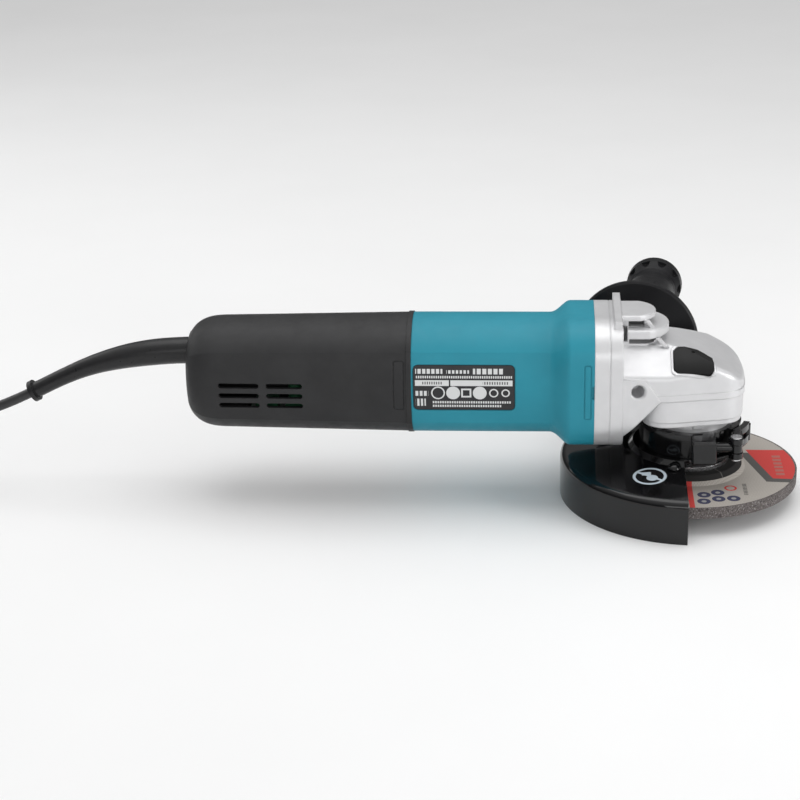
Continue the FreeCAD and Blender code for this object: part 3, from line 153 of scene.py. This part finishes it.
class Surface:
    """A procedural material built up step by step on one Principled shader, in the object's own metres."""

    def __init__(self, name, colour, rough, metal=0.0, level=0.5):
        self.material = bpy.data.materials.new(name)
        self.material.use_nodes = True
        self.tree = self.material.node_tree
        self.shader = self.tree.nodes["Principled BSDF"]
        self.shader.inputs["Base Color"].default_value = (*colour, 1)
        self.shader.inputs["Roughness"].default_value = rough
        self.shader.inputs["Metallic"].default_value = metal
        self.shader.inputs["Specular IOR Level"].default_value = level
        self.where = self.node("ShaderNodeTexCoord").outputs["Object"]
        self.colour = None
        self.base = colour
        self.rough = rough
        self.normal = None
        self.split = self.node("ShaderNodeSeparateXYZ")
        self.link(self.where, self.split.inputs[0])

    def node(self, kind, **settings):
        made = self.tree.nodes.new(kind)
        for key, value in settings.items():
            setattr(made, key, value)
        return made

    def link(self, source, target):
        self.tree.links.new(source, target)

    def math(self, operation, a, b=None):
        made = self.node("ShaderNodeMath", operation=operation)
        for socket, value in zip(made.inputs, (a, b)):
            if isinstance(value, (int, float)):
                socket.default_value = value
            elif value is not None:
                self.link(value, socket)
        return made.outputs[0]

    def every(self, *masks):
        """Mask of where all the masks hold."""
        both = masks[0]
        for mask in masks[1:]:
            both = self.math("MULTIPLY", both, mask)
        return both

    def between(self, axis, low, high):
        value = self.split.outputs[axis]
        return self.every(self.math("GREATER_THAN", value, low), self.math("LESS_THAN", value, high))

    def block(self, axes, first, second):
        """Mask of a rectangle, from its low and high place along each of two axes."""
        return self.every(self.between(axes[0], *first), self.between(axes[1], *second))

    def along(self, direction):
        """The point's part along a direction."""
        made = self.node("ShaderNodeVectorMath", operation="DOT_PRODUCT")
        self.link(self.where, made.inputs[0])
        made.inputs[1].default_value = direction
        return made.outputs["Value"]

    def beyond(self, direction, distance):
        """Mask of the far side of a plane: where the point's part along direction is above distance."""
        return self.math("GREATER_THAN", self.along(direction), distance)

    def stripe(self, direction, middle, half):
        """Mask of a straight band: where the point's part along direction is within half of middle."""
        back = tuple(-d for d in direction)
        return self.every(self.beyond(direction, middle - half), self.beyond(back, -middle - half))

    def ring(self, axes, centre, inner, outer):
        """Mask of a flat ring, or of a spot if inner is 0."""
        legs = [self.math("SUBTRACT", self.split.outputs[axis], place) for axis, place in zip(axes, centre)]
        squares = [self.math("MULTIPLY", leg, leg) for leg in legs]
        far = self.math("SQRT", self.math("ADD", *squares))
        return self.every(self.math("GREATER_THAN", far, inner - 1e-6), self.math("LESS_THAN", far, outer))

    def strokes(self, axis, pitch, filled):
        """Mask of stripes across an axis, each filling that part of the pitch."""
        part = self.math("FRACT", self.math("DIVIDE", self.split.outputs[axis], pitch))
        return self.math("LESS_THAN", part, filled)

    def noise(self, scale, detail=3.0, stretch=None):
        made = self.node("ShaderNodeTexNoise")
        made.inputs["Scale"].default_value = scale
        made.inputs["Detail"].default_value = detail
        made.inputs["Roughness"].default_value = NOISE_ROUGHNESS
        where = self.where
        if stretch:
            mapping = self.node("ShaderNodeMapping")
            mapping.inputs["Scale"].default_value = stretch
            self.link(self.where, mapping.inputs["Vector"])
            where = mapping.outputs["Vector"]
        self.link(where, made.inputs["Vector"])
        return made.outputs["Fac"]

    def spread(self, value, low, high, out_low=0.0, out_high=1.0):
        made = self.node("ShaderNodeMapRange", clamp=True)
        numbers = {"From Min": low, "From Max": high, "To Min": out_low, "To Max": out_high}
        for socket, number in numbers.items():
            made.inputs[socket].default_value = number
        self.link(value, made.inputs["Value"])
        return made.outputs["Result"]

    def tint(self, mask, colour):
        """Lays colour over what is there so far, where mask is 1."""
        made = self.node("ShaderNodeMix", data_type="RGBA")
        self.link(mask, made.inputs["Factor"])
        if self.colour is None:
            made.inputs[6].default_value = (*self.base, 1)
        else:
            self.link(self.colour, made.inputs[6])
        made.inputs[7].default_value = (*colour, 1)
        self.colour = made.outputs[2]
        self.link(self.colour, self.shader.inputs["Base Color"])

    def threads(self, direction):
        """Fine threads across a direction, between 0 and 1."""
        wave = self.math("SINE", self.math("MULTIPLY", self.along(direction), 2 * math.pi / THREAD))
        return self.math("MULTIPLY", self.math("ADD", wave, 1.0), 0.5)

    def clouds(self, colour, scale, low=0.35, high=0.75, **kind):
        """Soft patches of a second colour."""
        self.tint(self.spread(self.noise(scale, **kind), low, high), colour)

    def patchy(self, scale, change, **kind):
        """Roughness that wanders by change each way."""
        mask = self.spread(self.noise(scale, **kind), 0.3, 0.7, self.rough - change, self.rough + change)
        self.link(mask, self.shader.inputs["Roughness"])

    def soft_edges(self, radius):
        made = self.node("ShaderNodeBevel", samples=BEVEL_SAMPLES)
        made.inputs["Radius"].default_value = radius
        self.normal = made.outputs["Normal"]
        self.link(self.normal, self.shader.inputs["Normal"])

    def worn_edges(self, colour, radius, amount):
        """Rubbed edges: where a wide bevel turns away from the face, broken up by noise."""
        wide = self.node("ShaderNodeBevel", samples=BEVEL_SAMPLES)
        wide.inputs["Radius"].default_value = radius
        facing = self.node("ShaderNodeNewGeometry").outputs["Normal"]
        made = self.node("ShaderNodeVectorMath", operation="DOT_PRODUCT")
        self.link(wide.outputs["Normal"], made.inputs[0])
        self.link(facing, made.inputs[1])
        edge = self.spread(made.outputs["Value"], *EDGE_TURN)
        broken = self.spread(self.noise(RUBBING_SCALE, detail=5.0), 0.42, 0.62, 0.0, amount)
        self.tint(self.math("MULTIPLY", edge, broken), colour)

    def bumps(self, height, depth):
        """Relief by a height between 0 and 1, over the soft edges so far."""
        made = self.node("ShaderNodeBump")
        made.inputs["Strength"].default_value = 1.0
        made.inputs["Distance"].default_value = depth
        self.link(height, made.inputs["Height"])
        if self.normal is not None:
            self.link(self.normal, made.inputs["Normal"])
        self.normal = made.outputs["Normal"]
        self.link(self.normal, self.shader.inputs["Normal"])

    def grain(self, scale, depth, **kind):
        self.bumps(self.noise(scale, **kind), depth)

    def varnish(self, weight, rough):
        self.shader.inputs["Coat Weight"].default_value = weight
        self.shader.inputs["Coat Roughness"].default_value = rough


def silver_paint():
    s = Surface("silver_paint", (0.66, 0.66, 0.67), 0.40, metal=0.45)
    s.clouds((0.62, 0.62, 0.63), 90)
    s.patchy(240, 0.05)
    s.soft_edges(0.0010)
    s.grain(2600, 0.00003, detail=2.0)
    s.worn_edges((0.80, 0.80, 0.79), 0.0007, 0.35)
    return s.material


def teal_plastic():
    s = Surface("teal_plastic", (0.018, 0.235, 0.315), 0.50, level=0.28)
    s.clouds((0.021, 0.255, 0.340), 60)
    s.patchy(180, 0.05)
    s.soft_edges(0.0008)
    s.grain(3000, 0.000025, detail=2.0)
    s.worn_edges((0.05, 0.30, 0.37), 0.0006, 0.3)
    return s.material


def black_plastic(name="black_plastic", colour=(0.023, 0.023, 0.024), rough=0.48, level=0.24):
    s = Surface(name, colour, rough, level=level)
    s.clouds(tuple(1.25 * c for c in colour), 70)
    s.patchy(200, 0.06)
    s.soft_edges(0.0006)
    s.grain(2400, 0.00005, detail=2.0)
    s.worn_edges((0.09, 0.09, 0.09), 0.0006, 0.4)
    return s.material


def enamelled(name):
    s = Surface(name, (0.0035, 0.0035, 0.0040), 0.10, level=0.32)
    s.patchy(120, 0.03)
    s.soft_edges(0.0007)
    s.grain(160, 0.00003, detail=1.0)
    s.worn_edges((0.06, 0.06, 0.06), 0.0005, 0.35)
    s.varnish(0.25, 0.05)
    return s


# printed roundel on the guard: a ring, and in it a block, a spot and a bar, placed from its centre
MARK_CENTRE = (-0.0230, -0.0402)
MARK_LEVEL = (0.022, 0.030)    # heights between which the guard's top lies
MARK_OUTER, MARK_INNER = 0.0088, 0.0073
MARK_BLOCK = (-0.0040, 0.0008), (0.0011, 0.0043)
MARK_SPOT, MARK_SPOT_RADIUS = (0.0012, -0.0019), 0.0030
MARK_BAR_ACROSS = (0.62, 0.78, 0)
MARK_BAR_HALF, MARK_BAR_END = 0.0008, 0.0075
MARK_COLOUR = (0.52, 0.60, 0.66)
MARK_GROUND = (0.010, 0.010, 0.011)


def guard_enamel():
    """The enamel with a plain printed roundel."""
    s = enamelled("guard_enamel")
    x, y = MARK_CENTRE
    top = s.between("Z", *MARK_LEVEL)
    s.tint(s.every(top, s.ring("XY", MARK_CENTRE, 0, MARK_OUTER)), MARK_COLOUR)
    s.tint(s.every(top, s.ring("XY", MARK_CENTRE, 0, MARK_INNER)), MARK_GROUND)
    block = [[place + shift for shift in span] for place, span in zip(MARK_CENTRE, MARK_BLOCK)]
    s.tint(s.every(top, s.block("XY", *block)), MARK_COLOUR)
    s.tint(s.every(top, s.ring("XY", (x + MARK_SPOT[0], y + MARK_SPOT[1]), 0, MARK_SPOT_RADIUS)), MARK_COLOUR)
    bar = s.stripe(MARK_BAR_ACROSS, MARK_BAR_ACROSS[0] * x + MARK_BAR_ACROSS[1] * y, MARK_BAR_HALF)
    s.tint(s.every(top, bar, s.ring("XY", MARK_CENTRE, 0, MARK_BAR_END)), MARK_COLOUR)
    return s.material


# print on the label, in mm in the plane of X and Z
LABEL_WHITE = (0.66, 0.67, 0.67)
LABEL_BLACK = (0.022, 0.022, 0.024)
LABEL_GREY = (0.10, 0.10, 0.10)
LABEL_LINES = [    # from x to x, from z to z, pitch and filling of the strokes that stand for the print
    (-145.2, -131.0, 77.6, 80.1, 2.4, 0.7), (-129.0, -117.1, 77.7, 79.5, 2.0, 0.62),
    (-115.1, -99.5, 77.4, 80.3, 2.9, 0.72), (-145.2, -94.7, 75.2, 76.5, 1.15, 0.6),
    (-145.4, -127.7, 71.1, 74.2, 0, 0), (-126.9, -94.5, 71.1, 74.2, 0, 0),
    (-145.2, -138.5, 65.5, 68.3, 2.2, 0.66), (-145.2, -139.9, 59.6, 63.9, 1.9, 0.6),
    (-136.5, -95.0, 61.2, 62.5, 1.25, 0.66), (-136.5, -100.3, 59.0, 60.3, 1.25, 0.66),
]
LABEL_PRINT_IN_BOXES = [(-141.9, -130.8, 71.9, 73.4, 1.2, 0.5), (-110.0, -96.8, 71.9, 73.4, 1.3, 0.5)]
LABEL_SQUARES = [(-121.3, -116.0, 64.7, 69.7, LABEL_WHITE), (-120.4, -116.9, 65.6, 68.8, LABEL_BLACK)]
LABEL_RING_Z = 67.2
LABEL_RINGS = [    # x of the middle, inner and outer radius
    (-133.4, 2.9, 3.6), (-125.5, 0, 3.6), (-111.6, 0, 3.6), (-104.3, 1.7, 2.4), (-98.1, 1.5, 2.2),
]


def label_foil():
    """Dark foil with plain blocks, strokes and rings in place of the print."""
    s = Surface("label_foil", LABEL_BLACK, 0.42, level=0.30)
    s.clouds((0.028, 0.028, 0.030), 160)
    s.patchy(300, 0.05)
    s.soft_edges(0.0003)
    s.grain(1800, 0.00001, detail=3.0)
    for lines, colour in ((LABEL_LINES, LABEL_WHITE), (LABEL_PRINT_IN_BOXES, LABEL_GREY)):
        for x0, x1, z0, z1, pitch, filled in lines:
            bar = s.block("XZ", (x0 * MM, x1 * MM), (z0 * MM, z1 * MM))
            if pitch:
                bar = s.every(bar, s.strokes("X", pitch * MM, filled))
            s.tint(bar, colour)
    for x, inner, outer in LABEL_RINGS:
        s.tint(s.ring("XZ", (x * MM, LABEL_RING_Z * MM), inner * MM, outer * MM), LABEL_WHITE)
    for x0, x1, z0, z1, colour in LABEL_SQUARES:
        s.tint(s.block("XZ", (x0 * MM, x1 * MM), (z0 * MM, z1 * MM)), colour)
    return s.material


# print on the grinding disc, around the origin in the plane of X and Y
DISC_TOP = 0.0150              # only the face above this height carries the print
PAPER_RADIUS, HUB_RADIUS = 0.0565, 0.0282
PAPER = (0.400, 0.370, 0.335)
HUB_BLACK = (0.010, 0.0095, 0.009)
PRINT_DARK = (0.075, 0.073, 0.070)
PRINT_RED = (0.56, 0.035, 0.030)
PRINT_PINK = (0.40, 0.12, 0.10)
PRINT_BLUE = (0.022, 0.026, 0.075)
PRINT_GREY = (0.30, 0.30, 0.30)
THREAD_DARK = (0.10, 0.09, 0.08)
PANEL_SIDES = (0.9613, 0.2756, 0), (0.07, 0.9975, 0), (0, -1, 0)    # inwards from the panel's three sides
PANEL_RED = (0.0364, -0.0154, -0.0200)     # distances of the red panel's sides from the origin
PANEL_EDGE = (0.0316, -0.0200, -0.0160)    # and those of the dark border under it
LARGE_PRINT = (0.0455, 0.0500), (-0.0150, 0.0130)      # from x to x and from y to y
SMALL_PRINT = (0.0262, 0.0284), (-0.0405, -0.0260)
LARGE_PITCH, SMALL_PITCH = 0.0047, 0.0018
RED_STRIPE = (-0.0030, -0.0002), (-0.0565, -0.0270)
RED_RING = (0.0198, -0.0316), 0.0022, 0.0033           # centre, inner and outer radius
SPOTS = [(5.4, -40.4), (12.7, -37.4), (4.8, -48.6), (12.6, -45.4), (20.4, -44.6)]    # mm
SPOT_RADIUS, SPOT_EYE = 0.0035, 0.0013
# painted highlight: a thin light grey line on the black hub, along a crease that catches the light
CREASE_HIGHLIGHT_ACROSS, CREASE_HIGHLIGHT_ALONG = (0.81, 0.586, 0), (0.586, -0.81, 0)
CREASE_HIGHLIGHT_HALF, CREASE_HIGHLIGHT_START = 0.0003, 0.012
CREASE_HIGHLIGHT_GREY = (0.09, 0.085, 0.08)


def disc_face():
    """Grit and resin at the rim, a paper label over glass cloth on the face, black around the hub."""
    s = Surface("disc_face", (0.11, 0.095, 0.09), 0.85)
    s.clouds((0.32, 0.30, 0.30), 1500, low=0.52, high=0.68, detail=4.0)
    s.clouds((0.05, 0.04, 0.04), 900, low=0.52, high=0.66, detail=4.0)
    s.soft_edges(0.0003)
    face = s.math("GREATER_THAN", s.split.outputs["Z"], DISC_TOP)
    paper = s.every(face, s.ring("XY", (0, 0), 0.0, PAPER_RADIUS))
    s.tint(paper, PAPER)
    for distances, colour in ((PANEL_EDGE, PRINT_DARK), (PANEL_RED, PRINT_RED)):
        sides = [s.beyond(direction, distance) for direction, distance in zip(PANEL_SIDES, distances)]
        s.tint(s.every(*sides, paper), colour)
    large = s.every(s.block("XY", *LARGE_PRINT), s.strokes("Y", LARGE_PITCH, 0.62))
    s.tint(s.every(large, paper, s.beyond(PANEL_SIDES[0], PANEL_RED[0])), PRINT_PINK)
    s.tint(s.every(face, s.block("XY", *RED_STRIPE)), PRINT_RED)
    for x, y in SPOTS:
        s.tint(s.every(face, s.ring("XY", (x * MM, y * MM), 0, SPOT_RADIUS)), PRINT_BLUE)
        s.tint(s.every(face, s.ring("XY", (x * MM, y * MM), 0, SPOT_EYE)), PRINT_GREY)
    s.tint(s.every(face, s.ring("XY", *RED_RING)), PRINT_RED)
    s.tint(s.every(face, s.block("XY", *SMALL_PRINT), s.strokes("Y", SMALL_PITCH, 0.55)), PRINT_DARK)
    cloth = s.math("MAXIMUM", s.threads((0.7071, 0.7071, 0)), s.threads((0.7071, -0.7071, 0)))
    s.tint(s.every(paper, s.spread(cloth, 0.55, 1.0, 0.0, 0.28)), THREAD_DARK)
    s.tint(s.every(face, s.ring("XY", (0, 0), 0, HUB_RADIUS)), HUB_BLACK)
    # painted highlight along the crease in the hub, as a light grey line over the black
    crease_highlight = s.every(s.stripe(CREASE_HIGHLIGHT_ACROSS, 0.0, CREASE_HIGHLIGHT_HALF), s.beyond(CREASE_HIGHLIGHT_ALONG, CREASE_HIGHLIGHT_START),
                      s.ring("XY", (0, 0), 0, HUB_RADIUS))
    s.tint(s.every(face, crease_highlight), CREASE_HIGHLIGHT_GREY)
    coarse = s.math("ADD", s.math("MULTIPLY", paper, -0.93), 1.0)    # the paper is almost flat
    s.bumps(s.math("MULTIPLY", s.noise(1100, detail=5.0), coarse), 0.0009)
    return s.material


def bare_steel(name, colour, rough, stretch=(1, 1, 9)):
    s = Surface(name, colour, rough, metal=1.0)
    s.clouds(tuple(0.78 * c for c in colour), 500, stretch=stretch)
    s.patchy(900, 0.08, stretch=stretch)
    s.soft_edges(0.0003)
    s.grain(1500, 0.00002, detail=3.0, stretch=stretch)
    return s.material


def plain(name, colour, rough, level=0.5, grain_depth=0.00004):
    s = Surface(name, colour, rough, level=level)
    s.clouds(tuple(0.72 * c for c in colour), 160)
    s.patchy(300, 0.05)
    s.soft_edges(0.0004)
    s.grain(1800, grain_depth, detail=3.0)
    return s.material


MATERIALS = {
    "silver_paint": silver_paint(),
    "teal_plastic": teal_plastic(),
    "black_plastic": black_plastic(),
    "grip_black": black_plastic("grip_black", (0.007, 0.007, 0.008), 0.40, 0.20),
    "black_rubber": plain("black_rubber", (0.013, 0.013, 0.014), 0.32, level=0.35, grain_depth=0.00002),
    "cord_black": plain("cord_black", (0.026, 0.026, 0.027), 0.42, grain_depth=0.00002),
    "black_enamel": enamelled("black_enamel").material,
    "label_foil": label_foil(),
    "steel": bare_steel("steel", (0.55, 0.55, 0.56), 0.28),
    "zinc_screw": bare_steel("zinc_screw", (0.62, 0.61, 0.58), 0.30, stretch=(1, 1, 1)),
    "machined_aluminium": bare_steel("machined_aluminium", (0.72, 0.73, 0.74), 0.30),
    "lamination": bare_steel("lamination", (0.20, 0.20, 0.21), 0.45, stretch=(12, 1, 1)),
    "copper": bare_steel("copper", (0.60, 0.28, 0.13), 0.30, stretch=(4, 1, 1)),
    "brass": bare_steel("brass", (0.70, 0.55, 0.25), 0.28),
    "carbon": plain("carbon", (0.05, 0.05, 0.05), 0.6),
    "fan_plastic": plain("fan_plastic", (0.08, 0.08, 0.09), 0.5),
    "board": plain("board", (0.03, 0.16, 0.07), 0.4),
}
OWN_LOOKS = {    # nodes with a look of their own, whatever their slot
    "grinding_disc": disc_face(),
    "lock_button": black_plastic("lock_black", (0.007, 0.007, 0.007), 0.36, 0.18),
    "wheel_guard": guard_enamel(),
}


def dress(thing, material):
    thing.data.materials.clear()
    thing.data.materials.append(material)


for part in frame["record"]["subparts"]:
    node = part["node"]
    dress(frame["nodes"][node], OWN_LOOKS[node] if node in OWN_LOOKS else MATERIALS[part["material_slot"]])
dress(flex, MATERIALS["cord_black"])

# The lock's spring is pressed together against the bottom of its pocket as the button goes in.
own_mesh(frame["nodes"]["lock_spring"])


# ---- floor and light ---------------------------------------------------------------------------------------
FLOOR_HALF = 40.0               # so wide that its edge lies at the horizon
HORIZON, ZENITH = 0.10, 1.05    # strength of the tent at the horizon and overhead
HORIZON_TOP = 0.24              # sine of the height at which the tent starts to brighten
MIDDLE, HEAD = (-0.12, 0, 0.05), (0.0, 0, 0.07)
LIGHTS = [    # name, place, what it shines at, size and power
    ("overhead", (-0.10, 0.15, 1.10), MIDDLE, (1.3, 0.8), 5.0),
    ("front", (0.12, -3.00, 0.95), MIDDLE, (2.8, 1.0), 22.0),
    ("nose", (0.95, -0.45, 0.35), HEAD, (0.4, 0.5), 4.5),
    ("back_left", (-1.10, 0.50, 0.60), (-0.2, 0, 0.07), (0.7, 0.7), 2.0),
]


def make_floor():
    mesh = bpy.data.meshes.new("floor")
    corners = [(x * FLOOR_HALF, y * FLOOR_HALF, 0) for x, y in ((-1, -1), (1, -1), (1, 1), (-1, 1))]
    mesh.from_pydata(corners, [], [(0, 1, 2, 3)])
    floor = bpy.data.objects.new("floor", mesh)
    bpy.context.scene.collection.objects.link(floor)
    s = Surface("floor", (0.88, 0.88, 0.88), 0.6)
    s.clouds((0.86, 0.86, 0.86), 6)
    dress(floor, s.material)


def area_light(name, place, aim, size, power):
    data = bpy.data.lights.new(name, "AREA")
    data.shape = "RECTANGLE"
    data.size, data.size_y = size
    data.energy = power
    light = bpy.data.objects.new(name, data)
    place, aim = Vector(place), Vector(aim)
    turn = (place - aim).to_track_quat("Z", "Y").to_matrix()
    light.matrix_world = Matrix.Translation(place) @ turn.to_4x4()
    bpy.context.scene.collection.objects.link(light)


def make_world():
    """Soft white tent: bright overhead, dim near the horizon."""
    world = bpy.data.worlds.new("studio")
    world.use_nodes = True
    tree = world.node_tree
    back = tree.nodes["Background"]
    split = tree.nodes.new("ShaderNodeSeparateXYZ")
    ramp = tree.nodes.new("ShaderNodeMapRange")
    tree.links.new(tree.nodes.new("ShaderNodeTexCoord").outputs["Generated"], split.inputs[0])
    tree.links.new(split.outputs["Z"], ramp.inputs["Value"])
    ramp.inputs["From Min"].default_value = HORIZON_TOP
    ramp.inputs["To Min"].default_value = HORIZON
    ramp.inputs["To Max"].default_value = ZENITH
    tree.links.new(ramp.outputs["Result"], back.inputs["Strength"])
    back.inputs["Color"].default_value = (1, 1, 1, 1)
    bpy.context.scene.world = world


make_floor()
make_world()
for light in LIGHTS:
    area_light(*light)
bpy.context.scene.view_settings.view_transform = "Standard"
